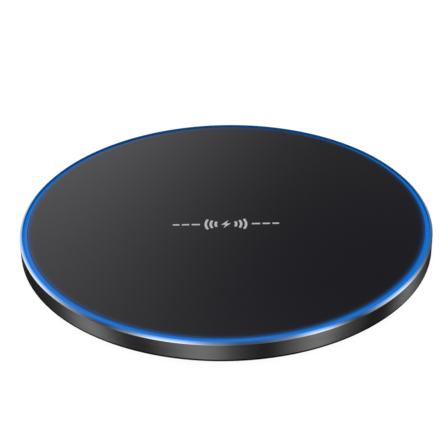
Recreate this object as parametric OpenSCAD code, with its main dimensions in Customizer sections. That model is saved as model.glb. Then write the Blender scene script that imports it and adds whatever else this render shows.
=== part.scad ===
// Slim round wireless charging pad: a metal rim with a polished chamfer, a satin
// black panel inside a glowing light ring, and the coil, board and USB inlet
// between the panel and the base cover.
//
// Millimetres. +Z is up, the origin is the centre of the resting plane under the
// foot ring, and the USB inlet faces +Y.

/* [Overall] */
// Outside diameter of the metal rim
pad_d = 100; // [98:1:110]
// Height of the metal rim
rim_h = 5; // [5:0.1:6]
// How far the foot ring stands below the rim
foot_proud = 1.2; // [0.8:0.1:2]

/* [Rim] */
// Width and height of the polished chamfer on the rim's top edge
chamfer = 0.6; // [0.3:0.05:0.6]
// Wall of the rim around the light ring
rim_wall = 0.65; // [0.65:0.05:0.9]
// Number of tapped lugs on the rim's ledge, halfway between the main axes
lug_count = 4; // [3:1:4]

/* [Panel] */
// Thickness of the black top panel
panel_t = 1; // [0.8:0.1:1]
// Width of the light ring that shows around the panel
light_w = 1.25; // [0.8:0.05:1.6]
// How far the light ring's face slopes down towards the rim
light_drop = 0.7; // [0.1:0.05:0.75]

/* [Foot ring] */
// Width of the silicone foot ring
foot_w = 6; // [5:0.5:7]
// Number of grip grooves under the foot ring
foot_grooves = 3; // [1:1:4]

/* [Coil] */
// Number of turns in the charging coil
turns = 10; // [6:1:10]
// Diameter of the stranded coil wire
wire_d = 1; // [0.8:0.05:1]
// Distance from one turn to the next
turn_pitch = 1.15; // [1.1:0.05:1.2]
// Inner radius of the coil, to the middle of its first turn
coil_r = 10.3; // [9:0.1:11]

/* [Electronics] */
// Thickness of the circuit board
board_t = 0.8; // [0.6:0.1:0.8]
// Number of side-firing LEDs around the board
led_count = 8; // [4, 8]

/* [Hidden] */
$fn = 96;

// Heights of the layers, from the table up.
rim_z = foot_proud;
top_z = rim_z + rim_h;
cover_t = 1;
floor_z = rim_z + cover_t;
panel_z = top_z - panel_t;
panel_tape_t = 0.2;
flange_t = 1.1;
flange_z = panel_z - panel_tape_t - flange_t;
groove_depth = 0.3;
groove_z = rim_z + groove_depth;
thin_tape_t = 0.1;
ferrite_t = 0.9;
ferrite_z = floor_z + thin_tape_t;
coil_z = ferrite_z + ferrite_t + thin_tape_t;
board_z = floor_z + 0.8;
board_top = board_z + board_t;

// Radii, from the outside in.
rim_r = pad_d / 2;
seat_r = rim_r - rim_wall;
cover_pocket_r = rim_r - 1;
cover_r = cover_pocket_r - 0.1;
edge_break = 0.25;
light_r = seat_r - 0.05;
panel_gap = 0.05;
panel_r = light_r - light_w - panel_gap;
ledge_r = rim_r - 2.8;
flange_r = rim_r - 5.4;
lug_centre_r = rim_r - 5.4;
lug_r = 2.2;
lug_angles = [for (i = [0 : lug_count - 1]) 45 + i * 360 / lug_count];
foot_mid_r = rim_r - 6;
foot_in_r = foot_mid_r - foot_w / 2;
foot_out_r = foot_mid_r + foot_w / 2;
spigot_t = 0.8;
spigot_r = ledge_r - 0.1;
spigot_h = 1.4;
ferrite_r = 26.2;
board_in_r = 28;
board_out_r = rim_r - 6.5;
coil_out_r = coil_r + turns * turn_pitch + wire_d / 2;

// Screws: flat heads of a 1.6 mm machine screw.
screw_r = 0.8;
head_r = 1.45;
head_h = 0.65;
hole_gap = 0.02;
screw_top = flange_z - 0.1;

// USB inlet, on the +Y side, half sunk in a notch of the board.
usb_w = 7.5;
usb_h = 2.5;
usb_wall = 0.3;
usb_corner = 0.9;
usb_front = rim_r - 0.8;
usb_len = 5.6;
usb_back = usb_front - usb_len;
usb_z = (floor_z + panel_z) / 2;
slot_w = 8.4;
slot_h = panel_z - floor_z;
slot_corner = 0.8;
wing_w = 1.5;
wing_x = usb_w / 2 + 0.6;
notch_w = 2 * wing_x + wing_w + 0.4;
notch_top = panel_z + 0.05;
contact_pitch = 0.65;
contact_w = 0.3;
contact_t = 0.15;
contact_count = 5;
tongue_t = 0.6;
tongue_w = 3.7;
block_len = 1.2;

// The coil starts and ends at these angles, beside the slot for its inner lead.
coil_start = 20;
coil_end_cut = 40;
lead_slot_w = 3.6;
lead_slot_start = 5.5;
lead_hole = [coil_r - 0.4, 1.9];

// Routes of the internal wires, as points along the middle of each wire.
wire_z = coil_z + wire_d / 2;
under_z = (floor_z + coil_z) / 2;
on_board_z = board_top + wire_d / 2;
pad_x = board_in_r + 3;
coil_begin = polar(coil_r, coil_start, wire_z);
coil_end_angle = coil_start - coil_end_cut;
coil_end = polar(turn_pitch / 2, coil_start, 0)
    + polar(coil_r + (turns - 0.5) * turn_pitch, coil_end_angle, wire_z);
inner_y = 0.5;
inner_route = [
    coil_begin - polar(0.05, coil_start + 90, 0), coil_begin - polar(0.5, coil_start + 90, 0.05),
    polar(coil_r, coil_start - 8, wire_z - 0.35), [coil_r - 0.1, 1.3, under_z + 0.35],
    [coil_r + 0.5, 0.65, under_z + 0.05], [coil_r + 2, inner_y, under_z],
    [coil_r + 7, inner_y, under_z], [coil_r + 12, inner_y, under_z],
    [ferrite_r - 1.5, inner_y, under_z + 0.2], [ferrite_r, inner_y, wire_z - 0.3],
    [board_in_r + 0.2, inner_y, on_board_z + 0.2], [pad_x, inner_y, on_board_z]
];
outer_y = -4.2;
outer_route = [
    coil_end + polar(0.05, coil_end_angle + 90, 0),
    coil_end + polar(1.2, coil_end_angle + 90, 0),
    [coil_end[0] + 1.4, outer_y - 0.55, wire_z], [coil_end[0] + 3, outer_y - 0.1, wire_z],
    [ferrite_r, outer_y, wire_z + 0.05], [board_in_r + 0.2, outer_y, on_board_z + 0.2],
    [pad_x, outer_y, on_board_z]
];
probe_wire_d = 0.4;
probe_r = 0.7;
probe_z = panel_z - probe_r - 0.05;
probe_y = -0.55;
probe_spacing = 0.55;
probe_route = [
    [1.6, probe_y, probe_z], [3.4, probe_y, probe_z], [5.2, probe_y, probe_z - 0.3],
    [8, probe_y, under_z + 0.1], [10, probe_y, under_z], [ferrite_r - 3, probe_y, under_z],
    [ferrite_r, probe_y, wire_z - 0.4], [board_in_r + 0.3, probe_y, board_top + 0.45],
    [pad_x, probe_y, board_top + 0.2]
];

// Heat-staked posts that hold the board: radius, angle, and whether a pin goes through.
posts = [
    [41.4, 0, true], [41.4, 180, true], [41.4, 270, true],
    [29.8, 50, false], [29.8, 130, false], [29.8, 230, false], [29.8, 310, false]
];
post_r = 1.3;
pin_r = 0.6;

// ---- helpers ----

module at(r, a) {
    rotate(a) translate([r, 0, 0]) children();
}

// A flat ring between two radii.
module ring(r_in, r_out, z, h) {
    rotate_extrude() translate([r_in, z]) square([r_out - r_in, h]);
}

// A box with its base centred at height z, x radial and y along the circle.
module chip_box(size, z) {
    translate([0, 0, z + size[2] / 2]) cube(size, center = true);
}

// A rounded rectangle, extruded along Y from y0 for len, centred on height z.
module y_slot(w, h, corner, y0, len, z) {
    translate([0, y0 + len, z]) rotate([90, 0, 0]) linear_extrude(len) union() {
        square([w - 2 * corner, h], center = true);
        square([w, h - 2 * corner], center = true);
        for (x = [-1, 1], y = [-1, 1])
            translate([x * (w / 2 - corner), y * (h / 2 - corner)]) circle(corner);
    }
}

// The inlet's outline: a rectangle with its two lower corners cut off.
module usb_outline(w, h, corner) {
    polygon([
        [-w / 2, h / 2], [w / 2, h / 2], [w / 2, corner - h / 2],
        [w / 2 - corner, -h / 2], [corner - w / 2, -h / 2], [-w / 2, corner - h / 2]
    ]);
}

module usb_prism(w, h, corner, y0, len) {
    translate([0, y0 + len, usb_z]) rotate([90, 0, 0]) linear_extrude(len)
        usb_outline(w, h, corner);
}

function polar(r, a, z) = [r * cos(a), r * sin(a), z];

// Points of a Catmull-Rom curve through the route, with its ends kept.
function spline(route, steps) = let (n = len(route) - 1) concat(
    [for (i = [0 : n - 1], s = [0 : steps - 1])
        let (
            t = s / steps,
            a = i == 0 ? 2 * route[0] - route[1] : route[i - 1],
            b = route[i],
            c = route[i + 1],
            d = i == n - 1 ? 2 * route[n] - route[n - 1] : route[i + 2]
        )
        0.5 * (2 * b + (c - a) * t + (2 * a - 5 * b + 4 * c - d) * t * t
            + (3 * b - a - 3 * c + d) * t * t * t)],
    [route[n]]
);

function unit(v) = v / norm(v);

// A round tube that follows the points, with flat ends.
module tube(points, d, sides = 8) {
    n = len(points) - 1;
    rings = [for (i = [0 : n]) let (
            along = unit(points[min(i + 1, n)] - points[max(i - 1, 0)]),
            side = unit(cross(along, [0, 0, 1])),
            up = cross(side, along)
        )
        for (j = [0 : sides - 1])
            points[i] + d / 2 * (cos(360 * j / sides) * side + sin(360 * j / sides) * up)];
    walls = [for (i = [0 : n - 1], j = [0 : sides - 1])
        let (k = (j + 1) % sides)
        [i * sides + j, i * sides + k, (i + 1) * sides + k, (i + 1) * sides + j]];
    ends = [
        [for (j = [0 : sides - 1]) sides - 1 - j],
        [for (j = [0 : sides - 1]) n * sides + j]
    ];
    polyhedron(points = rings, faces = concat(walls, ends));
}

// ---- casing ----

module rim() {
    color("#2a2b2d") difference() {
        union() {
            rotate_extrude() polygon([
                [cover_pocket_r, rim_z], [rim_r - edge_break, rim_z],
                [rim_r, rim_z + edge_break], [rim_r, top_z - chamfer],
                [rim_r - chamfer, top_z], [seat_r, top_z], [seat_r, flange_z],
                [ledge_r, flange_z], [ledge_r, floor_z], [cover_pocket_r, floor_z]
            ]);
            for (a = lug_angles) at(lug_centre_r, a) rim_lug();
        }
        for (a = lug_angles) at(lug_centre_r, a)
            translate([0, 0, floor_z - 1]) cylinder(r = screw_r + hole_gap, h = rim_h);
        y_slot(slot_w, slot_h, slot_corner, ledge_r - 5, 10, usb_z);
    }
}

module rim_lug() {
    lug_t = flange_z - floor_z;
    translate([0, 0, floor_z]) cylinder(r = lug_r, h = lug_t);
    translate([0, -lug_r, floor_z]) cube([ledge_r - lug_centre_r + 0.8, 2 * lug_r, lug_t]);
}

module top_panel() {
    edge = 0.15;
    color("#1b1b1d") rotate_extrude() polygon([
        [0, panel_z], [panel_r, panel_z], [panel_r, top_z - edge],
        [panel_r - edge, top_z], [0, top_z]
    ]);
}

module panel_adhesive() {
    color("#d8d8d4") difference() {
        ring(flange_r + 0.2, panel_r - 0.1, panel_z - panel_tape_t, panel_tape_t);
        inlet_notch();
    }
}

// The space that the inlet takes out of the parts over it.
module inlet_notch() {
    translate([-notch_w / 2, flange_r - 5, 0]) cube([notch_w, 10, notch_top]);
}

module light_guide() {
    sink = 0.05;
    color("#3d8cff") difference() {
        rotate_extrude() polygon([
            [flange_r, flange_z], [light_r, flange_z], [light_r, top_z - sink - light_drop],
            [light_r - light_w, top_z - sink], [light_r - light_w, flange_z + flange_t],
            [flange_r, flange_z + flange_t]
        ]);
        inlet_notch();
    }
}

module base_cover() {
    color("#161617") difference() {
        union() {
            rotate_extrude() polygon([
                [0, rim_z], [cover_r - edge_break, rim_z], [cover_r, rim_z + edge_break],
                [cover_r, floor_z], [0, floor_z]
            ]);
            spigot();
            ferrite_rib();
            for (p = posts) at(p[0], p[1]) board_post(p[2]);
            inlet_cheeks();
        }
        ring(foot_in_r - 0.1, foot_out_r + 0.1, 0, groove_z);
        label_recess();
        for (a = lug_angles) at(lug_centre_r, a) screw_hole();
    }
}

// The upright wall that centres the cover in the rim, open at the lugs and the inlet.
module spigot() {
    lug_gap = 4.5;
    inlet_gap = 11;
    for (a = lug_angles) {
        begin = a + lug_gap;
        span = 360 / lug_count - 2 * lug_gap;
        faces_inlet = begin < 90 && begin + span > 90;
        if (faces_inlet) {
            spigot_arc(begin, 90 - inlet_gap - begin);
            spigot_arc(90 + inlet_gap, begin + span - 90 - inlet_gap);
        } else
            spigot_arc(begin, span);
    }
}

module spigot_arc(begin, span) {
    sink = 0.3;
    rotate(begin) rotate_extrude(angle = span)
        translate([spigot_r - spigot_t, floor_z - sink]) square([spigot_t, spigot_h + sink]);
}

// A low rib around the ferrite, open where the leads cross it.
module ferrite_rib() {
    gap = 16;
    sink = 0.3;
    rotate(gap) rotate_extrude(angle = 360 - 2 * gap)
        translate([ferrite_r + 0.2, floor_z - sink]) square([0.8, 0.7 + sink]);
}

module board_post(staked) {
    sink = 0.3;
    translate([0, 0, floor_z - sink]) cylinder(r = post_r, h = board_z - floor_z + sink);
    if (staked) {
        translate([0, 0, board_z - sink]) cylinder(r = pin_r, h = board_t + 2 * sink);
        translate([0, 0, board_top]) cylinder(r1 = 1.1, r2 = 0.7, h = 0.4);
    }
}

// Two blocks that keep the inlet from twisting when a plug goes in.
module inlet_cheeks() {
    for (side = [-1, 1])
        translate([side * (usb_w / 2 + 0.5), ledge_r - 0.7, floor_z + 0.4])
            cube([0.6, 0.8, 1.4], center = true);
}

module label_recess() {
    translate([0, 0, rim_z - 1]) cylinder(r = foot_in_r - 9, h = 1.15);
}

module screw_hole() {
    translate([0, 0, groove_z]) cylinder(r1 = head_r + 0.1, r2 = screw_r + 0.15, h = head_h);
    translate([0, 0, groove_z]) cylinder(r = screw_r + 0.15, h = 2);
}

module foot_ring() {
    round_r = 0.4;
    groove_w = 0.5;
    top = groove_z - thin_tape_t;
    color("#232324") rotate_extrude() difference() {
        union() {
            translate([foot_in_r, round_r]) square([foot_w, top - round_r]);
            translate([foot_in_r + round_r, 0]) square([foot_w - 2 * round_r, top]);
            for (r = [foot_in_r + round_r, foot_out_r - round_r])
                translate([r, round_r]) circle(round_r);
        }
        for (i = [1 : foot_grooves])
            translate([foot_in_r + i * foot_w / (foot_grooves + 1) - groove_w / 2, -0.1])
                square([groove_w, 0.4]);
    }
}

module foot_adhesive() {
    color("#e6e2d4")
        ring(foot_in_r + 0.2, foot_out_r - 0.2, groove_z - thin_tape_t, thin_tape_t);
}

module cover_screws() {
    color("#8d9196") for (a = lug_angles) at(lug_centre_r, a) cover_screw();
}

module cover_screw() {
    drive_depth = 0.35;
    difference() {
        union() {
            translate([0, 0, groove_z]) cylinder(r1 = head_r, r2 = screw_r, h = head_h);
            translate([0, 0, groove_z + head_h / 2])
                cylinder(r = screw_r, h = screw_top - groove_z - head_h / 2);
        }
        for (turn = [0, 90])
            rotate(turn) translate([0, 0, groove_z]) cube([1.6, 0.35, 2 * drive_depth], center = true);
    }
}

// ---- coil ----

// The radial slot through the ferrite and its tapes.
module lead_slot() {
    translate([lead_slot_start, -lead_slot_w / 2, 0]) cube([30, lead_slot_w, top_z]);
    translate(lead_hole) cylinder(r = 2.2, h = top_z);
}

module ferrite_disc() {
    color("#3a3b3f") difference() {
        translate([0, 0, ferrite_z]) cylinder(r = ferrite_r, h = ferrite_t);
        lead_slot();
    }
}

module ferrite_adhesive() {
    color("#cfc9b4") difference() {
        translate([0, 0, floor_z]) cylinder(r = ferrite_r - 0.4, h = thin_tape_t);
        lead_slot();
    }
}

module coil_adhesive() {
    color("#d9d3c0") difference() {
        ring(coil_r - 1, coil_out_r + 0.4, coil_z - thin_tape_t, thin_tape_t);
        lead_slot();
    }
}

// A spiral made of half turns about two centres, so each half is a true torus.
module charging_coil() {
    last = 2 * turns - 1;
    color("#b8733a") rotate(coil_start) for (i = [0 : last])
        translate([(i % 2) * turn_pitch / 2, 0, wire_z]) rotate(180 * (i % 2))
            rotate_extrude(angle = i == last ? 180 - coil_end_cut : 180)
                translate([coil_r + i * turn_pitch / 2, 0]) circle(wire_d / 2);
}

module coil_leads() {
    color("#b8733a") {
        tube(spline(inner_route, 3), wire_d);
        tube(spline(outer_route, 3), wire_d);
    }
}

module coil_foam() {
    foam_z = coil_z + wire_d;
    color("#2f3033") ring(coil_r - 0.5, coil_out_r, foam_z, panel_z - foam_z);
}

module thermistor() {
    color("#c8b070") {
        translate([1.4, probe_y - probe_spacing / 2, probe_z]) sphere(probe_r);
        for (side = [0, 1]) translate([0, -side * probe_spacing, 0])
            tube(spline(probe_route, 3), probe_wire_d);
    }
}

// ---- board ----

module circuit_board() {
    lug_gap = 0.5;
    tab_w = 14;
    tab_end = rim_r - 4;
    color("#0d3b24") difference() {
        union() {
            ring(board_in_r, board_out_r, board_z, board_t);
            translate([-tab_w / 2, board_in_r + 8, board_z])
                cube([tab_w, tab_end - board_in_r - 8, board_t]);
        }
        for (a = lug_angles) at(lug_centre_r, a)
            translate([0, 0, board_z - 1]) cylinder(r = lug_r + lug_gap, h = 3);
        for (p = posts) if (p[2]) at(p[0], p[1])
            translate([0, 0, board_z - 1]) cylinder(r = pin_r + 0.05, h = 3);
        translate([-usb_w / 2 - 0.15, usb_back - 0.4, board_z - 1]) cube([usb_w + 0.3, 10, 3]);
    }
}

module thermal_pad() {
    color("#7f97a8") at(35.8, 20)
        translate([0, 0, (floor_z + board_z) / 2]) cube([9, 9, board_z - floor_z], center = true);
}

module leaded_chip(body, leads, lead_pitch) {
    stand = 0.1;
    reach = 0.7;
    chip_box([body[0], body[1], body[2] - stand], board_top + stand);
    for (i = [0 : leads - 1])
        translate([0, (i - (leads - 1) / 2) * lead_pitch, 0])
            chip_box([body[0] + 2 * reach, lead_pitch * 0.4, 0.25], board_top);
}

module controller_chip() {
    color("#1c1d1f") at(35.8, 58) {
        leaded_chip([5, 5, 1], 8, 0.5);
        rotate(90) leaded_chip([5, 5, 1], 8, 0.5);
    }
}

module bridge_transistors() {
    color("#202124") for (a = [14, 26]) at(35.8, a) leaded_chip([4, 5, 1.2], 4, 1.27);
}

module tuning_capacitors() {
    color("#9b8f7a") for (i = [0 : 3]) at(34, -12 - 7 * i) chip_box([3.2, 2.5, 1.2], board_top);
}

module filter_capacitors() {
    color("#b3a78e") {
        for (i = [0 : 5]) at(38, 104 + 4 * i) chip_box([2, 1.25, 0.9], board_top);
        for (i = [0 : 3]) at(31, 30 + 5 * i) chip_box([2, 1.25, 0.9], board_top);
    }
}

module chip_resistors() {
    color("#26282b") {
        for (i = [0 : 6]) at(31.5, 74 + 4 * i) chip_box([1.6, 0.8, 0.5], board_top);
        for (i = [0 : led_count - 1])
            at(40.2, led_angle(i) + 5) chip_box([1.6, 0.8, 0.5], board_top);
    }
}

module power_inductor() {
    color("#34363a") at(33.5, 118) {
        chip_box([4.4, 4.4, 0.3], board_top);
        translate([0, 0, board_top + 0.3]) cylinder(r = 2.05, h = 0.8);
        chip_box([4.4, 4.4, 0.2], board_top + 1.1);
    }
}

module voltage_regulator() {
    color("#1f2022") at(33.5, 132) leaded_chip([1.6, 2.9, 1.1], 3, 0.95);
}

function led_angle(i) = 22.5 + i * 360 / led_count;

// Side-firing LEDs that face out into the light guide's flange.
module side_leds() {
    color("#e9edf2") for (i = [0 : led_count - 1]) at(board_out_r - 1, led_angle(i)) side_led();
}

module side_led() {
    difference() {
        chip_box([1.2, 3, 1], board_top);
        translate([0.6, 0, board_top + 0.5]) cube([0.5, 2.2, 0.6], center = true);
    }
}

// ---- USB inlet ----

module usb_shell() {
    wing_z = board_top;
    color("#b9bcc0") {
        difference() {
            usb_prism(usb_w, usb_h, usb_corner, usb_back, usb_len);
            usb_prism(usb_w - 2 * usb_wall, usb_h - 2 * usb_wall, usb_corner - 0.18,
                usb_back - 1, usb_len + 2);
        }
        for (side = [-1, 1])
            translate([side * wing_x, usb_back + 1.4, wing_z + usb_wall / 2])
                cube([wing_w, 1.2, usb_wall], center = true);
    }
}

module usb_insulator() {
    color("#1a1a1b") difference() {
        union() {
            usb_prism(usb_w - 2 * usb_wall, usb_h - 2 * usb_wall, usb_corner - 0.18,
                usb_back, block_len);
            translate([-tongue_w / 2, usb_back + block_len / 2, board_top + contact_t])
                cube([tongue_w, usb_len - block_len / 2 - 0.9, tongue_t]);
        }
        contact_strips();
    }
}

module usb_contacts() {
    color("#d4a84b") contact_strips();
}

// Straight strips from the board, through the block, along the tongue's underside.
module contact_strips() {
    for (i = [0 : contact_count - 1])
        translate([(i - (contact_count - 1) / 2) * contact_pitch - contact_w / 2,
            usb_back - 1.4, board_top])
            cube([contact_w, usb_len + 0.1, contact_t]);
}

rim();
top_panel();
panel_adhesive();
light_guide();
base_cover();
foot_ring();
foot_adhesive();
cover_screws();
ferrite_disc();
ferrite_adhesive();
coil_adhesive();
charging_coil();
coil_leads();
coil_foam();
circuit_board();
thermal_pad();
usb_shell();
usb_insulator();
usb_contacts();
side_leds();
controller_chip();
bridge_transistors();
tuning_capacitors();
filter_capacitors();
chip_resistors();
power_inductor();
voltage_regulator();
thermistor();
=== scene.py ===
"""Slim round wireless charging pad: looks, stage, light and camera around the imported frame.

Lengths are worked out in metres; MM turns millimetres into metres.
"""
import bpy
import bmesh
import math
from mathutils import Matrix, Vector


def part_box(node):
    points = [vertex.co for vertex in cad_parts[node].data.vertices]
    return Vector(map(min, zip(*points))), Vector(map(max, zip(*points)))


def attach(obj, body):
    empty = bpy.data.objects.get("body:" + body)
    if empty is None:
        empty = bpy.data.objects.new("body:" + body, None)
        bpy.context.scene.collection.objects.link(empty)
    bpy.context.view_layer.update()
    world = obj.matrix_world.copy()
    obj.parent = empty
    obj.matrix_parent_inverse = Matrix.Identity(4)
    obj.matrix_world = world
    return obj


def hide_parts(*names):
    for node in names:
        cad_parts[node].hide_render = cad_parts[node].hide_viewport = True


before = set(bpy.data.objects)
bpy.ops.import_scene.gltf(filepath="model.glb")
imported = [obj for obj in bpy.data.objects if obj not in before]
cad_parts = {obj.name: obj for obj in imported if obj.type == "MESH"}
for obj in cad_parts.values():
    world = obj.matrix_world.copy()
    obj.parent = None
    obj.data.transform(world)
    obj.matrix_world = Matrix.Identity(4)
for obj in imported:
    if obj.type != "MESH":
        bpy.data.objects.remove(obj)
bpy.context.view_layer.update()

MM = 0.001
ROUND_SEGMENTS = 384


# ---------------------------------------------------------------- meshes

def box_mm(node):
    """Lowest and highest corner of a CAD node, in millimetres."""
    low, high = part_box(node)
    return low / MM, high / MM


def link(name, mesh):
    piece = bpy.data.objects.new(name, mesh)
    bpy.context.scene.collection.objects.link(piece)
    return piece


def smooth(mesh):
    """Smooth shading, with edges sharper than thirty degrees kept crisp."""
    mesh.polygons.foreach_set("use_smooth", [True] * len(mesh.polygons))
    mesh.set_sharp_from_angle(angle=math.radians(30))
    mesh.update()


def rounded_outline(corners, steps=5):
    """An outline of (x, y, radius) corners in which each radius becomes an arc."""
    points = []
    count = len(corners)
    for i, (x, y, radius) in enumerate(corners):
        here = Vector((x, y))
        if radius <= 0:
            points.append(here)
            continue
        before = (Vector(corners[i - 1][:2]) - here).normalized()
        after = (Vector(corners[(i + 1) % count][:2]) - here).normalized()
        half = math.acos(max(-1.0, min(1.0, before.dot(after)))) / 2
        reach = radius / math.tan(half)
        centre = here + (before + after).normalized() * (radius / math.sin(half))
        start = here + before * reach - centre
        end = here + after * reach - centre
        turn = math.atan2(start.x * end.y - start.y * end.x, start.dot(end))
        for k in range(steps + 1):
            angle = turn * k / steps
            c, s = math.cos(angle), math.sin(angle)
            points.append(centre + Vector((start.x * c - start.y * s, start.x * s + start.y * c)))
    return points


def revolve(name, corners, steps=5):
    """A closed ring or disc turned about Z from a millimetre outline of (radius, height, rounding)."""
    outline = rounded_outline(corners, steps)
    bm = bmesh.new()
    rows = []
    for point in outline:
        if point.x < 1e-6:
            rows.append([bm.verts.new((0, 0, point.y * MM))])
            continue
        rows.append([
            bm.verts.new((
                point.x * MM * math.cos(2 * math.pi * j / ROUND_SEGMENTS),
                point.x * MM * math.sin(2 * math.pi * j / ROUND_SEGMENTS),
                point.y * MM))
            for j in range(ROUND_SEGMENTS)])
    for a, b in zip(rows, rows[1:] + rows[:1]):
        for j in range(ROUND_SEGMENTS):
            k = (j + 1) % ROUND_SEGMENTS
            if len(a) == 1 and len(b) == 1:
                break
            if len(a) == 1:
                bm.faces.new((a[0], b[k], b[j]))
            elif len(b) == 1:
                bm.faces.new((a[j], a[k], b[0]))
            else:
                bm.faces.new((a[j], a[k], b[k], b[j]))
    bmesh.ops.recalc_face_normals(bm, faces=bm.faces)
    mesh = bpy.data.meshes.new(name)
    bm.to_mesh(mesh)
    bm.free()
    smooth(mesh)
    return link(name, mesh)


def plate(name, outlines, low, high):
    """Closed flat plates from millimetre outlines of (x, y) points, between two heights."""
    bm = bmesh.new()
    for outline in outlines:
        bottom = [bm.verts.new((x * MM, y * MM, low * MM)) for x, y in outline]
        top = [bm.verts.new((x * MM, y * MM, high * MM)) for x, y in outline]
        bm.faces.new(bottom[::-1])
        bm.faces.new(top)
        for i in range(len(outline)):
            j = (i + 1) % len(outline)
            bm.faces.new((bottom[i], bottom[j], top[j], top[i]))
    bmesh.ops.recalc_face_normals(bm, faces=bm.faces)
    mesh = bpy.data.meshes.new(name)
    bm.to_mesh(mesh)
    bm.free()
    smooth(mesh)
    return link(name, mesh)


def cut(piece, cutter):
    """Takes the cutter's shape out of the piece, and deletes the cutter."""
    modifier = piece.modifiers.new("cut", "BOOLEAN")
    modifier.operation = "DIFFERENCE"
    modifier.solver = "EXACT"
    modifier.object = cutter
    bake_modifiers(piece)
    bpy.data.objects.remove(cutter)
    smooth(piece.data)


def islands(node):
    """The separate boxes of a CAD node: each one's centre, turn about Z, and size, in millimetres.

    Each box stands square to the line from the middle of the pad to it.
    """
    bm = bmesh.new()
    bm.from_mesh(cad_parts[node].data)
    bmesh.ops.remove_doubles(bm, verts=bm.verts, dist=1e-6)
    left = set(bm.verts)
    found = []
    while left:
        group = {left.pop()}
        edge_of_group = list(group)
        while edge_of_group:
            here = edge_of_group.pop()
            for edge in here.link_edges:
                other = edge.other_vert(here)
                if other in left:
                    left.remove(other)
                    group.add(other)
                    edge_of_group.append(other)
        middle = sum((v.co for v in group), Vector()) / len(group)
        turn = math.atan2(middle.y, middle.x)
        local = [Matrix.Rotation(-turn, 3, "Z") @ v.co / MM for v in group]
        low = Vector([min(p[i] for p in local) for i in range(3)])
        high = Vector([max(p[i] for p in local) for i in range(3)])
        centre = Matrix.Rotation(turn, 3, "Z") @ ((low + high) / 2)
        found.append((centre, turn, high - low))
    bm.free()
    return sorted(found, key=lambda item: item[1])


def bevelled_boxes(name, boxes, bevel):
    """One mesh of soft-edged boxes, each given as a centre, a turn about Z and a size in millimetres."""
    mesh = bpy.data.meshes.new(name)
    whole = bmesh.new()
    for centre, turn, size in boxes:
        bm = bmesh.new()
        bmesh.ops.create_cube(bm, size=1.0)
        bmesh.ops.scale(bm, vec=size * MM, verts=bm.verts)
        bmesh.ops.bevel(bm, geom=bm.edges, offset=bevel * MM, segments=2, affect="EDGES",
                        profile=0.5)
        place = Matrix.Translation(centre * MM) @ Matrix.Rotation(turn, 4, "Z")
        bmesh.ops.transform(bm, matrix=place, verts=bm.verts)
        bm.to_mesh(mesh)
        bm.free()
        whole.from_mesh(mesh)
    whole.to_mesh(mesh)
    whole.free()
    smooth(mesh)
    return link(name, mesh)


def bake_modifiers(piece):
    graph = bpy.context.evaluated_depsgraph_get()
    mesh = bpy.data.meshes.new_from_object(piece.evaluated_get(graph))
    piece.modifiers.clear()
    piece.data = mesh


def slot_cutter(width, height, corner, middle_z, y_low, y_high):
    """A rounded slot along Y, in millimetres, as a temporary object."""
    half_w, half_h = width / 2, height / 2
    outline = rounded_outline([
        (-half_w, -half_h, corner), (half_w, -half_h, corner),
        (half_w, half_h, corner), (-half_w, half_h, corner)], steps=8)
    bm = bmesh.new()
    near = [bm.verts.new((p.x * MM, y_low * MM, (middle_z + p.y) * MM)) for p in outline]
    far = [bm.verts.new((p.x * MM, y_high * MM, (middle_z + p.y) * MM)) for p in outline]
    bm.faces.new(near)
    bm.faces.new(far[::-1])
    for i in range(len(outline)):
        j = (i + 1) % len(outline)
        bm.faces.new((near[j], near[i], far[i], far[j]))
    bmesh.ops.recalc_face_normals(bm, faces=bm.faces)
    mesh = bpy.data.meshes.new("cutter")
    bm.to_mesh(mesh)
    bm.free()
    return link("cutter", mesh)


# ---------------------------------------------------------------- materials

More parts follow.
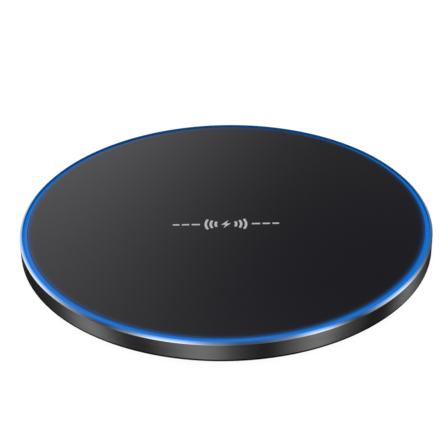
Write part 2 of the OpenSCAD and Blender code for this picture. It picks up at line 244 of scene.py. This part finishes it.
class Shader:
    """A Principled material with short ways to add the nodes that the looks need."""

    def __init__(self, name, color, roughness, metallic=0.0, **numbers):
        self.material = bpy.data.materials.new(name)
        self.material.use_nodes = True
        self.nodes = self.material.node_tree.nodes
        self.links = self.material.node_tree.links
        self.principled = self.nodes["Principled BSDF"]
        self.principled.inputs["Base Color"].default_value = (*color, 1)
        self.principled.inputs["Roughness"].default_value = roughness
        self.principled.inputs["Metallic"].default_value = metallic
        for key, value in numbers.items():
            self.principled.inputs[key.replace("_", " ")].default_value = value

    def node(self, kind, inputs=None, **settings):
        """A new node with its settings, and its inputs fed from sockets or values."""
        made = self.nodes.new(kind)
        for key, value in settings.items():
            setattr(made, key, value)
        for key, value in (inputs or {}).items():
            self.feed(made.inputs[key], value)
        return made

    def feed(self, socket, value):
        if isinstance(value, bpy.types.NodeSocket):
            self.links.new(value, socket)
        else:
            socket.default_value = value

    def math(self, operation, a, b=0.0):
        return self.node("ShaderNodeMath", {0: a, 1: b}, operation=operation).outputs[0]

    def scaled(self, x, y, z):
        """Object coordinates times a scale on each axis."""
        place = self.node("ShaderNodeTexCoord").outputs["Object"]
        mapping = self.node("ShaderNodeMapping", {"Vector": place})
        mapping.inputs["Scale"].default_value = (x, y, z)
        return mapping.outputs[0]

    def polar(self, around, radial, up):
        """Coordinates that run round the Z axis, out from it and along it, each scaled."""
        place = self.node("ShaderNodeTexCoord").outputs["Object"]
        split = self.node("ShaderNodeSeparateXYZ", {0: place})
        angle = self.math("ARCTAN2", split.outputs["X"], split.outputs["Y"])
        squares = self.math("ADD", self.math("POWER", split.outputs["X"], 2.0),
                            self.math("POWER", split.outputs["Y"], 2.0))
        radius = self.math("SQRT", squares)
        return self.node("ShaderNodeCombineXYZ", {
            "X": self.math("MULTIPLY", angle, around),
            "Y": self.math("MULTIPLY", radius, radial),
            "Z": self.math("MULTIPLY", split.outputs["Z"], up)}).outputs[0]

    def radius_mm(self):
        place = self.node("ShaderNodeTexCoord").outputs["Object"]
        flat = self.node("ShaderNodeVectorMath", {0: place, 1: (1, 1, 0)}, operation="MULTIPLY")
        length = self.node("ShaderNodeVectorMath", {0: flat.outputs[0]}, operation="LENGTH")
        return self.math("DIVIDE", length.outputs["Value"], MM)

    def height_mm(self):
        place = self.node("ShaderNodeTexCoord").outputs["Object"]
        split = self.node("ShaderNodeSeparateXYZ", {0: place})
        return self.math("DIVIDE", split.outputs["Z"], MM)

    def noise(self, vector, scale=1.0, detail=2.0, rough=0.5):
        return self.node("ShaderNodeTexNoise", {
            "Vector": vector, "Scale": scale, "Detail": detail, "Roughness": rough}).outputs["Fac"]

    def spread(self, value, low, high, from_low=0.0, from_high=1.0):
        """The value's range mapped to another one."""
        return self.node("ShaderNodeMapRange", {
            "Value": value, "From Min": from_low, "From Max": from_high,
            "To Min": low, "To Max": high}).outputs[0]

    def ramp(self, value, stops, interpolation="LINEAR"):
        """A colour ramp of (position, colour) stops."""
        made = self.node("ShaderNodeValToRGB", {"Fac": value})
        band = made.color_ramp
        band.interpolation = interpolation
        while len(band.elements) < len(stops):
            band.elements.new(0.5)
        for element, (position, color) in zip(band.elements, stops):
            element.position = position
            element.color = (*color, 1)
        return made.outputs[0]

    def mix(self, amount, a, b):
        made = self.node("ShaderNodeMix", data_type="RGBA")
        self.feed(made.inputs[0], amount)
        for socket, value in ((made.inputs[6], a), (made.inputs[7], b)):
            if isinstance(value, tuple):
                value = (*value, 1)
            self.feed(socket, value)
        return made.outputs[2]

    def set(self, name, value):
        self.feed(self.principled.inputs[name], value)

    def bump(self, height, distance_mm, strength=1.0):
        made = self.node("ShaderNodeBump", {
            "Height": height, "Distance": distance_mm * MM, "Strength": strength})
        self.set("Normal", made.outputs[0])


def brushed_anodised(base_mm):
    """Dark anodised aluminium with a fine grain round the wall, and painted shade: its bottom edge is
    painted near black.
    """
    shader = Shader("brushed_anodised", (0.3, 0.3, 0.305), 0.2, 1.0, Anisotropic=0.6,
                    Anisotropic_Rotation=0.25)
    tangent = shader.node("ShaderNodeTangent", direction_type="RADIAL", axis="Z")
    shader.set("Tangent", tangent.outputs[0])
    grain = shader.noise(shader.polar(3.0, 0.0, 9000.0), 1.0, 3.0, 0.6)
    shader.set("Roughness", shader.spread(grain, 0.16, 0.25, 0.3, 0.7))
    mottle = shader.noise(shader.polar(6.0, 0.0, 700.0), 1.0, 2.0)
    metal = shader.mix(shader.spread(mottle, 0.0, 1.0, 0.3, 0.7), (0.28, 0.28, 0.285),
                       (0.33, 0.33, 0.335))
    # Painted shade: the lowest 0.6 mm of the wall is painted near black, standing in for the dark line
    # where the rim meets the floor.
    edge = shader.spread(shader.height_mm(), 1.0, 0.0, base_mm + 0.6, base_mm + 0.7)
    shader.set("Base Color", shader.mix(edge, metal, (0.02, 0.02, 0.021)))
    shader.bump(grain, 0.004, 0.35)
    return shader.material


def polished_chamfer(inner, outer):
    """Bright diamond-cut aluminium, with the light ring's blue painted near its inner edge: a painted
    reflection in its colour and a painted glow.
    """
    shader = Shader("polished_chamfer", (0.9, 0.91, 0.93), 0.12, 1.0, Anisotropic=0.4,
                    Anisotropic_Rotation=0.25)
    tangent = shader.node("ShaderNodeTangent", direction_type="RADIAL", axis="Z")
    shader.set("Tangent", tangent.outputs[0])
    lines = shader.noise(shader.polar(2.0, 16000.0, 16000.0), 1.0, 2.0)
    shader.set("Roughness", shader.spread(lines, 0.08, 0.17, 0.3, 0.7))
    place = shader.spread(shader.radius_mm(), 0.0, 1.0, inner, outer)
    # Painted reflection and painted glow: colour and emission turn blue towards the inner edge, standing
    # in for the light ring shining on the chamfer.
    shader.set("Base Color", shader.ramp(place, [
        (0.0, (0.05, 0.2, 0.6)), (0.35, (0.3, 0.5, 0.8)), (0.9, (0.9, 0.91, 0.93))]))
    shader.set("Emission Color", shader.ramp(place, [
        (0.0, (0.005, 0.12, 0.5)), (0.35, (0.01, 0.06, 0.22)), (0.8, (0.0, 0.0, 0.0))]))
    shader.principled.inputs["Emission Strength"].default_value = 1.0
    shader.bump(lines, 0.002, 0.3)
    return shader.material


def light_ring(inner, outer):
    """Translucent blue guide that glows, dimmer beside the panel."""
    shader = Shader("light_ring", (0.004, 0.02, 0.06), 0.35, Specular_IOR_Level=0.2)
    radius = shader.radius_mm()
    place = shader.spread(radius, 0.0, 1.0, inner, outer)
    glow = shader.ramp(place, [
        (0.0, (0.0, 0.03, 0.15)), (0.25, (0.0, 0.12, 0.48)),
        (0.45, (0.0, 0.155, 0.59)), (0.9, (0.0, 0.155, 0.59)), (1.0, (0.0, 0.14, 0.5))],
        "EASE")
    shader.set("Emission Color", glow)
    shader.principled.inputs["Emission Strength"].default_value = 1.0
    ripple = shader.noise(shader.polar(60.0, 0.0, 0.0), 1.0, 2.0)
    shader.set("Roughness", shader.spread(ripple, 0.25, 0.38, 0.3, 0.7))
    return shader.material


def panel_black(edge):
    """Smooth black panel, with a painted glow of the guide's blue light a little way in from its edge.
    """
    shader = Shader("panel_black", (0.012, 0.012, 0.018), 0.25, Specular_Tint=(0.94, 0.95, 1, 1))
    haze = shader.noise(shader.scaled(5000.0, 5000.0, 5000.0), 1.0, 2.0)
    shader.set("Roughness", shader.spread(haze, 0.24, 0.26, 0.3, 0.7))
    cloud = shader.noise(shader.scaled(30.0, 30.0, 30.0), 1.0, 1.0)
    shader.set("Base Color", shader.mix(cloud, (0.011, 0.011, 0.016), (0.013, 0.013, 0.019)))
    # Painted glow: blue emission painted on the panel's outer 1.5 mm, standing in for light from the
    # guide falling on its edge.
    painted_edge_glow = shader.spread(shader.radius_mm(), 0.0, 1.0, edge - 1.5, edge)
    shader.set("Emission Color", shader.ramp(painted_edge_glow, [
        (0.0, (0.0, 0.0, 0.0)), (0.4, (0.0, 0.002, 0.006)), (0.75, (0.0, 0.011, 0.036)),
        (1.0, (0.0, 0.04, 0.14))]))
    shader.principled.inputs["Emission Strength"].default_value = 1.0
    return shader.material


def screen_print():
    """White ink with the slight mottle of a screen print."""
    shader = Shader("screen_print", (0.85, 0.86, 0.88), 0.55)
    mottle = shader.noise(shader.scaled(3000.0, 3000.0, 3000.0), 1.0, 2.0)
    shader.set("Base Color", shader.mix(mottle, (0.8, 0.81, 0.83), (0.9, 0.91, 0.93)))
    shader.bump(mottle, 0.003, 0.3)
    return shader.material


def spark_plastic():
    """Black moulded plastic with a fine spark-eroded texture."""
    shader = Shader("spark_plastic", (0.018, 0.018, 0.019), 0.55)
    grain = shader.noise(shader.scaled(4500.0, 4500.0, 4500.0), 1.0, 2.0, 0.6)
    shader.set("Roughness", shader.spread(grain, 0.48, 0.66, 0.3, 0.7))
    tint = shader.noise(shader.scaled(60.0, 60.0, 60.0), 1.0, 2.0)
    shader.set("Base Color", shader.mix(tint, (0.015, 0.015, 0.016), (0.024, 0.024, 0.025)))
    shader.bump(grain, 0.02, 0.6)
    return shader.material


def silicone():
    """Matte black rubber with a faint bloom."""
    shader = Shader("silicone", (0.03, 0.03, 0.032), 0.6, Sheen_Weight=0.15, Sheen_Roughness=0.5)
    bloom = shader.noise(shader.scaled(350.0, 350.0, 350.0), 1.0, 4.0)
    shader.set("Roughness", shader.spread(bloom, 0.52, 0.72, 0.3, 0.7))
    shader.set("Base Color", shader.mix(bloom, (0.024, 0.024, 0.026), (0.04, 0.04, 0.042)))
    shader.bump(shader.noise(shader.scaled(5000.0, 5000.0, 5000.0)), 0.008, 0.5)
    return shader.material


def grained(name, dark, light, roughness, per_metre, depth_mm, metallic=0.0, **numbers):
    """A surface whose colour, gloss and height all follow one fine grain."""
    shader = Shader(name, light, roughness, metallic, **numbers)
    grain = shader.noise(shader.scaled(per_metre, per_metre, per_metre), 1.0, 3.0, 0.6)
    shader.set("Base Color", shader.mix(shader.spread(grain, 0.0, 1.0, 0.3, 0.7), dark, light))
    shader.set("Roughness", shader.spread(grain, roughness - 0.07, roughness + 0.07, 0.3, 0.7))
    shader.bump(grain, depth_mm, 0.6)
    return shader.material


def leaded_epoxy(lead_top):
    """Moulded black epoxy, tinned below the height of its leads."""
    shader = Shader("leaded_epoxy", (0.02, 0.02, 0.021), 0.5)
    grain = shader.noise(shader.scaled(6000.0, 6000.0, 6000.0), 1.0, 3.0, 0.6)
    lead = shader.spread(shader.height_mm(), 1.0, 0.0, lead_top - 0.01, lead_top + 0.01)
    epoxy = shader.mix(grain, (0.014, 0.014, 0.015), (0.026, 0.026, 0.028))
    shader.set("Base Color", shader.mix(lead, epoxy, (0.62, 0.62, 0.6)))
    shader.set("Metallic", lead)
    shader.set("Roughness", shader.spread(lead, 0.5, 0.28))
    shader.bump(grain, 0.01, 0.5)
    return shader.material


def copper_litz():
    """Enamelled copper strands that twist round each turn of the coil."""
    shader = Shader("copper_litz", (0.62, 0.27, 0.11), 0.3, 1.0)
    split = shader.node("ShaderNodeSeparateXYZ", {0: shader.polar(260.0, 9000.0, 9000.0)})
    phase = shader.math("ADD", shader.math("ADD", split.outputs["X"], split.outputs["Y"]),
                        split.outputs["Z"])
    strand = shader.spread(shader.math("SINE", phase), 0.0, 1.0, -1.0, 1.0)
    shader.set("Base Color", shader.mix(strand, (0.3, 0.1, 0.035), (0.72, 0.33, 0.14)))
    shader.set("Roughness", shader.spread(strand, 0.42, 0.24))
    shader.bump(strand, 0.05, 0.8)
    return shader.material


def circuit_board(inner, outer):
    """Green solder mask over ring-shaped copper tracks and a woven glass core."""
    shader = Shader("circuit_board", (0.012, 0.1, 0.045), 0.32, Coat_Weight=0.4,
                    Coat_Roughness=0.15)
    place = shader.spread(shader.radius_mm(), 0.0, 1.0, inner, outer)
    rings = shader.math("SINE", shader.math("MULTIPLY", place, 55.0))
    gaps = shader.noise(shader.polar(5.0, 500.0, 0.0), 1.0, 1.0)
    track = shader.spread(shader.math("MULTIPLY", rings, gaps), 0.0, 1.0, 0.1, 0.16)
    weave = shader.node("ShaderNodeTexWave", {
        "Vector": shader.scaled(1.0, 1.0, 0.0), "Scale": 700.0, "Distortion": 1.5,
        "Detail": 1.0}, wave_type="BANDS", bands_direction="DIAGONAL").outputs["Fac"]
    mask = shader.mix(track, (0.008, 0.075, 0.035), (0.02, 0.17, 0.075))
    shader.set("Base Color", shader.mix(shader.spread(weave, 0.0, 0.25), mask, (0.02, 0.12, 0.06)))
    shader.set("Roughness", shader.spread(weave, 0.28, 0.36))
    shader.bump(track, 0.03, 0.5)
    return shader.material


def open_foam():
    """Black foam with fine open cells."""
    shader = Shader("open_foam", (0.035, 0.035, 0.037), 0.9, Sheen_Weight=0.2)
    cells = shader.node("ShaderNodeTexVoronoi", {
        "Vector": shader.scaled(1.0, 1.0, 1.0), "Scale": 2600.0}).outputs["Distance"]
    shader.set("Base Color", shader.mix(shader.spread(cells, 0.0, 1.0, 0.1, 0.7),
                                        (0.012, 0.012, 0.013), (0.055, 0.055, 0.058)))
    shader.set("Roughness", shader.spread(cells, 0.8, 0.95))
    shader.bump(cells, 0.12, 0.8)
    return shader.material


# ---------------------------------------------------------------- pieces

def wear(piece, material, slot, *nodes):
    """Gives a new piece its material, its body and the nodes it stands for; the slot is not used."""
    piece.data.materials.clear()
    piece.data.materials.append(material)
    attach(piece, "root")
    if nodes:
        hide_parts(*nodes)
    return piece


def dress(node, material):
    """Gives a CAD node that stays in view its material."""
    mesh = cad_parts[node].data
    mesh.materials.clear()
    mesh.materials.append(material)


rim_low, rim_high = box_mm("rim")
panel_low, panel_high = box_mm("top_panel")
guide_low, guide_high = box_mm("light_guide")
cover_low, cover_high = box_mm("base_cover")
foot_low, foot_high = box_mm("foot_ring")
shell_low, shell_high = box_mm("usb_shell")

RIM_R = rim_high.x
PANEL_R = panel_high.x
GUIDE_R = guide_high.x
TOP_Z = rim_high.z
BASE_Z = rim_low.z
CHAMFER = 0.6
CHAMFER_SKIN = 0.06
SEAT_GAP = 0.05
SEAT_R = GUIDE_R + SEAT_GAP
FLANGE_Z = guide_low.z
FLOOR_Z = BASE_Z + 1.0
GUIDE_W = 1.25
GUIDE_DROP = 0.7
FLANGE_T = 1.1
FLANGE_R = RIM_R - 5.4
LEDGE_R = RIM_R - 2.8
COVER_POCKET_R = RIM_R - 1.0
EDGE_BREAK = 0.25
SLOT_W = 8.4
SLOT_CORNER = 0.8
NOTCH_CLEARANCE = 0.4
BOARD_IN_R = 28.0
BOARD_OUT_R = RIM_R - 6.5
FOOT_R = foot_high.x
FOOT_W = 6.0
FOOT_GROOVES = 3
GROOVE_W = 0.5
GROOVE_DEPTH = 0.3


def make_rim():
    """The rim below the chamfer, with the inlet's mouth cut through its back."""
    chamfer_z = TOP_Z - CHAMFER
    body = revolve("rim_body", [
        (COVER_POCKET_R, BASE_Z, 0.05), (RIM_R - EDGE_BREAK, BASE_Z, 0.06),
        (RIM_R, BASE_Z + EDGE_BREAK, 0.06),
        (RIM_R, chamfer_z, 0), (RIM_R - CHAMFER_SKIN, chamfer_z, 0),
        (RIM_R - CHAMFER - CHAMFER_SKIN, TOP_Z, 0), (SEAT_R, TOP_Z - 0.02, 0),
        (SEAT_R, FLANGE_Z, 0.03), (LEDGE_R, FLANGE_Z, 0.05), (LEDGE_R, FLOOR_Z, 0.05),
        (COVER_POCKET_R, FLOOR_Z, 0.03)])
    middle_z = (shell_low.z + shell_high.z) / 2
    slot_h = panel_low.z - FLOOR_Z
    cut(body, slot_cutter(SLOT_W, slot_h, SLOT_CORNER, middle_z, RIM_R - 6, RIM_R + 2))
    wear(body, brushed_anodised(BASE_Z), "anodised_rim", "rim")
    lip = revolve("rim_chamfer", [
        (RIM_R, chamfer_z, 0), (RIM_R - CHAMFER, TOP_Z, 0.03),
        (RIM_R - CHAMFER - CHAMFER_SKIN, TOP_Z, 0), (RIM_R - CHAMFER_SKIN, chamfer_z, 0)])
    wear(lip, polished_chamfer(RIM_R - CHAMFER, RIM_R), "polished_chamfer", "rim")


def make_guide():
    top = guide_high.z
    flange_top = FLANGE_Z + FLANGE_T
    guide = revolve("light_ring", [
        (FLANGE_R, FLANGE_Z, 0.05), (GUIDE_R, FLANGE_Z, 0.05), (GUIDE_R, top - GUIDE_DROP, 0.04),
        (GUIDE_R - GUIDE_W, top, 0.04), (GUIDE_R - GUIDE_W, flange_top, 0.05),
        (FLANGE_R, flange_top, 0.05)])
    notch_w = shell_high.x - shell_low.x + NOTCH_CLEARANCE
    notch_top = panel_low.z + 0.05
    cut(guide, slot_cutter(notch_w, 10, 0.01, notch_top - 5, FLANGE_R - 5, GUIDE_R + 5))
    wear(guide, light_ring(GUIDE_R - GUIDE_W, GUIDE_R), "light_ring", "light_guide")


def make_panel():
    panel = revolve("panel", [
        (0, panel_low.z, 0), (PANEL_R, panel_low.z, 0.03), (PANEL_R, panel_high.z, 0.12),
        (0, panel_high.z, 0)], steps=6)
    wear(panel, panel_black(PANEL_R), "panel_black", "top_panel")


def arc_band(radius, width, half_angle, side, steps=16):
    """Outline of a short curved stroke that opens towards the middle of the panel."""
    outline = []
    for r, order in ((radius + width / 2, 1), (radius - width / 2, -1)):
        for k in range(steps + 1):
            t = math.radians(order * half_angle * (2 * k / steps - 1))
            outline.append((side * r * math.cos(t), r * math.sin(t)))
    return outline


def make_mark():
    """A bolt between three arcs and a dashed line on each side: a generic charging sign."""
    tall = 1.8
    stroke = 0.6
    forward = 1.9
    bolt = [(0.6, tall), (-1.2, -0.3), (-0.1, -0.3), (-0.6, -tall), (1.2, 0.3), (0.1, 0.3)]
    outlines = [bolt]
    for side in (-1, 1):
        for radius in (2.5, 3.7, 4.9):
            outlines.append(arc_band(radius, stroke, 27, side))
        for start, end in ((6.3, 8.3), (8.9, 10.7), (11.3, 12.9)):
            outlines.append([(side * start, -stroke / 2), (side * end, -stroke / 2),
                             (side * end, stroke / 2), (side * start, stroke / 2)])
    placed = [[(x, y - forward) for x, y in outline] for outline in outlines]
    mark = plate("panel_mark", placed, panel_high.z - 0.005, panel_high.z + 0.012)
    wear(mark, screen_print(), "panel_print")


def make_foot():
    inner = FOOT_R - FOOT_W
    top = foot_high.z
    corners = [(FOOT_R, top, 0), (inner, top, 0), (inner, 0, 0.4)]
    for k in range(1, FOOT_GROOVES + 1):
        middle = inner + k * FOOT_W / (FOOT_GROOVES + 1)
        near, far = middle - GROOVE_W / 2, middle + GROOVE_W / 2
        corners += [(near, 0, 0.06), (near, GROOVE_DEPTH, 0.06),
                    (far, GROOVE_DEPTH, 0.06), (far, 0, 0.06)]
    corners.append((FOOT_R, 0, 0.4))
    foot = revolve("silicone_foot", corners)
    wear(foot, silicone(), "foot_silicone", "foot_ring")


def make_passives(node, end_length, body_material, end_material, slot):
    """Small board parts with a soft-edged body between two tinned ends."""
    skin = 0.04
    bodies, ends = [], []
    for centre, turn, size in islands(node):
        outward = Matrix.Rotation(turn, 3, "Z") @ Vector((1, 0, 0))
        bodies.append((centre, turn, Vector((size.x - 2 * end_length + skin, size.y - skin,
                                             size.z - skin))))
        for side in (-1, 1):
            shift = side * (size.x - end_length) / 2
            ends.append((centre + outward * shift, turn, Vector((end_length, size.y, size.z))))
    body = bevelled_boxes(node + "_bodies", bodies, 0.03)
    wear(body, body_material, slot, node)
    end = bevelled_boxes(node + "_ends", ends, 0.06)
    wear(end, end_material, slot, node)


make_rim()
make_guide()
make_panel()
make_mark()
make_foot()
dress("base_cover", spark_plastic())

tape = grained("foam_tape", (0.7, 0.68, 0.6), (0.8, 0.78, 0.71), 0.6, 2500.0, 0.01)
for node in ("panel_adhesive", "foot_adhesive", "ferrite_adhesive", "coil_adhesive"):
    dress(node, tape)
copper = copper_litz()
for node in ("charging_coil", "coil_leads"):
    dress(node, copper)
epoxy = leaded_epoxy(box_mm("circuit_board")[1].z + 0.25)
for node in ("controller_chip", "bridge_transistors", "voltage_regulator"):
    dress(node, epoxy)
ceramic = grained("ceramic", (0.26, 0.19, 0.12), (0.36, 0.28, 0.18), 0.45, 4000.0, 0.006)
film = grained("thick_film", (0.012, 0.012, 0.014), (0.03, 0.03, 0.033), 0.35, 5000.0, 0.005)
tin = grained("tinned_end", (0.55, 0.55, 0.53), (0.7, 0.7, 0.68), 0.35, 5000.0, 0.008, 1.0)
make_passives("tuning_capacitors", 0.55, ceramic, tin, "ceramic_tan")
make_passives("filter_capacitors", 0.35, ceramic, tin, "ceramic_tan")
make_passives("chip_resistors", 0.3, film, tin, "resistor_black")
dress("cover_screws", grained("plated_screw", (0.42, 0.43, 0.45), (0.58, 0.59, 0.6), 0.3, 3000.0,
                              0.006, 1.0))
dress("ferrite_disc", grained("sintered_ferrite", (0.045, 0.045, 0.052), (0.075, 0.075, 0.085),
                              0.6, 1800.0, 0.02))
dress("power_inductor", grained("inductor_ferrite", (0.04, 0.04, 0.046), (0.07, 0.07, 0.08), 0.5,
                                5000.0, 0.01))
dress("coil_foam", open_foam())
dress("circuit_board", circuit_board(BOARD_IN_R, BOARD_OUT_R))
dress("thermal_pad", grained("thermal_gel", (0.28, 0.37, 0.45), (0.36, 0.45, 0.53), 0.7, 1500.0,
                             0.02))
dress("usb_shell", grained("nickel_plate", (0.55, 0.56, 0.57), (0.68, 0.69, 0.7), 0.26, 2500.0,
                           0.004, 1.0))
dress("usb_insulator", grained("connector_resin", (0.012, 0.012, 0.013), (0.02, 0.02, 0.022), 0.45,
                               5000.0, 0.006))
dress("usb_contacts", grained("gold_plate", (0.68, 0.46, 0.15), (0.82, 0.6, 0.25), 0.25, 5000.0,
                              0.003, 1.0))
dress("side_leds", grained("reflector_cup", (0.76, 0.77, 0.75), (0.86, 0.87, 0.85), 0.4, 4000.0,
                           0.005))
dress("thermistor", grained("resin_bead", (0.38, 0.24, 0.09), (0.52, 0.36, 0.16), 0.25, 3000.0,
                            0.01, Coat_Weight=0.5))


# ---------------------------------------------------------------- stage, light, camera

def make_floor():
    mesh = bpy.data.meshes.new("floor")
    size = 8.0
    mesh.from_pydata([(-size, -size, 0), (size, -size, 0), (size, size, 0), (-size, size, 0)],
                     [], [(0, 1, 2, 3)])
    floor = link("floor", mesh)
    shader = Shader("floor_paper", (0.12, 0.12, 0.12), 0.9)
    shader.principled.inputs["Emission Color"].default_value = (1, 1, 1, 1)
    shader.principled.inputs["Emission Strength"].default_value = 0.96
    shader.principled.inputs["Specular IOR Level"].default_value = 0.0
    # From below, the floor is clear, so the underside of the pad can be seen.
    below = shader.node("ShaderNodeNewGeometry").outputs["Backfacing"]
    clear = shader.node("ShaderNodeBsdfTransparent").outputs[0]
    shown = shader.node("ShaderNodeMixShader", {
        0: below, 1: shader.principled.outputs[0], 2: clear}).outputs[0]
    shader.links.new(shown, shader.nodes["Material Output"].inputs["Surface"])
    mesh.materials.append(shader.material)
    floor.visible_glossy = False


# Brightness of the studio round the pad: (azimuth from the front towards +X, brightness).
LOW_LIGHTS = [
    (-180, 0.2), (-160, 0.05), (-135, 0.02), (-118, 0.05), (-104, 0.12), (-92, 0.38), (-80, 0.52),
    (-66, 0.17), (-53, 0.03), (-40, 0.12), (-26, 0.36), (-13, 0.52), (0, 0.22), (13, 0.07),
    (26, 0.07), (40, 0.32), (53, 0.54), (66, 0.21), (79, 0.08), (92, 0.02), (104, 0.1), (118, 0.42),
    (130, 0.2), (145, 0.06), (165, 0.04), (180, 0.2)]
HIGH_LIGHTS = [
    (-180, 0.6), (-150, 0.7), (-130, 0.85), (-117, 1.15), (-107, 0.8), (-98, 0.45), (-89, 0.22),
    (-79, 0.07), (-69, 0.12), (-57, 0.5), (-42, 1.25), (-33, 1.1), (-16, 0.48), (0, 0.17),
    (15, 0.07), (30, 0.16), (44, 0.4), (57, 1.1), (69, 0.36), (79, 0.03), (90, 0.44), (104, 1.0),
    (112, 0.65), (120, 0.27), (135, 0.1), (155, 0.35), (180, 0.6)]


def make_world():
    """White to the camera; to everything else, a ring of soft boxes with dark gaps between."""
    world = bpy.data.worlds.new("studio")
    bpy.context.scene.world = world
    world.use_nodes = True
    tree = world.node_tree
    nodes, links = tree.nodes, tree.links
    nodes.clear()

    def node(kind, inputs=None, **settings):
        made = nodes.new(kind)
        for key, value in settings.items():
            setattr(made, key, value)
        for key, value in (inputs or {}).items():
            if isinstance(value, bpy.types.NodeSocket):
                links.new(value, made.inputs[key])
            else:
                made.inputs[key].default_value = value
        return made

    def calc(operation, a, b=0.0):
        return node("ShaderNodeMath", {0: a, 1: b}, operation=operation).outputs[0]

    def fade(value, start, end):
        return node("ShaderNodeMapRange", {"Value": value, "From Min": start, "From Max": end},
                    interpolation_type="SMOOTHSTEP").outputs[0]

    def mix(amount, a, b):
        made = node("ShaderNodeMix", {0: amount, 2: a, 3: b}, data_type="FLOAT")
        return made.outputs[0]

    direction = node("ShaderNodeTexCoord").outputs["Generated"]
    axes = node("ShaderNodeSeparateXYZ", {0: direction}).outputs
    back = calc("MULTIPLY", axes["Y"], -1.0)
    turn = calc("DIVIDE", calc("ARCTAN2", axes["X"], back), 2 * math.pi)
    place = calc("ADD", turn, 0.5)

    def ring(lights):
        made = node("ShaderNodeValToRGB", {"Fac": place})
        band = made.color_ramp
        band.interpolation = "CARDINAL"
        while len(band.elements) < len(lights):
            band.elements.new(0.5)
        for element, (azimuth, level) in zip(band.elements, lights):
            element.position = azimuth / 360 + 0.5
            element.color = (level, level, level, 1)
        return made.outputs[0]

    low = ring(LOW_LIGHTS)
    high = ring(HIGH_LIGHTS)
    sides = mix(fade(axes["Z"], -0.45, -0.25), low, high)
    # The far side, which the panel mirrors: a soft box on the left that fades to the right.
    far_side = fade(axes["Y"], 0.55, 0.75)
    slant = calc("ADD", axes["X"], calc("MULTIPLY", axes["Z"], 0.2))
    left = fade(slant, 0.18, -0.13)
    haze = calc("MULTIPLY", fade(axes["Z"], 0.6, 0.42), 0.08)
    far_level = calc("ADD", calc("MULTIPLY", left, 0.8), haze)
    above = fade(axes["Z"], 0.0, 0.15)
    studio = mix(calc("MULTIPLY", far_side, above), sides, calc("ADD", far_level, 0.04))
    ceiling = mix(fade(axes["Z"], 0.9, 0.97), studio, 1.0)

    seen = node("ShaderNodeLightPath").outputs["Is Camera Ray"]
    shade = mix(seen, ceiling, 1.0)
    background = node("ShaderNodeBackground", {"Color": shade, "Strength": 1.0})
    output = node("ShaderNodeOutputWorld")
    links.new(background.outputs[0], output.inputs["Surface"])


def make_camera():
    """Aimed at the middle of the panel from the front, a little over thirty degrees up."""
    elevation = math.radians(31.77)
    roll = math.radians(-1.01)
    distance = 0.34
    lens = 112.1
    shift = (-0.00415, -0.00902)
    target = Vector((0, 0, TOP_Z * MM))
    away = Vector((0, -math.cos(elevation), math.sin(elevation)))
    data = bpy.data.cameras.new("camera")
    camera = bpy.data.objects.new("camera", data)
    bpy.context.scene.collection.objects.link(camera)
    camera.location = target + away * distance
    look = (-away).to_track_quat("-Z", "Y").to_matrix().to_4x4()
    camera.matrix_world = Matrix.Translation(camera.location) @ look @ Matrix.Rotation(roll, 4, "Z")
    data.lens = lens
    data.shift_x, data.shift_y = shift
    data.clip_start = 0.01
    data.clip_end = 50
    bpy.context.scene.camera = camera


make_floor()
make_world()
make_camera()
bpy.context.scene.view_settings.view_transform = "Standard"
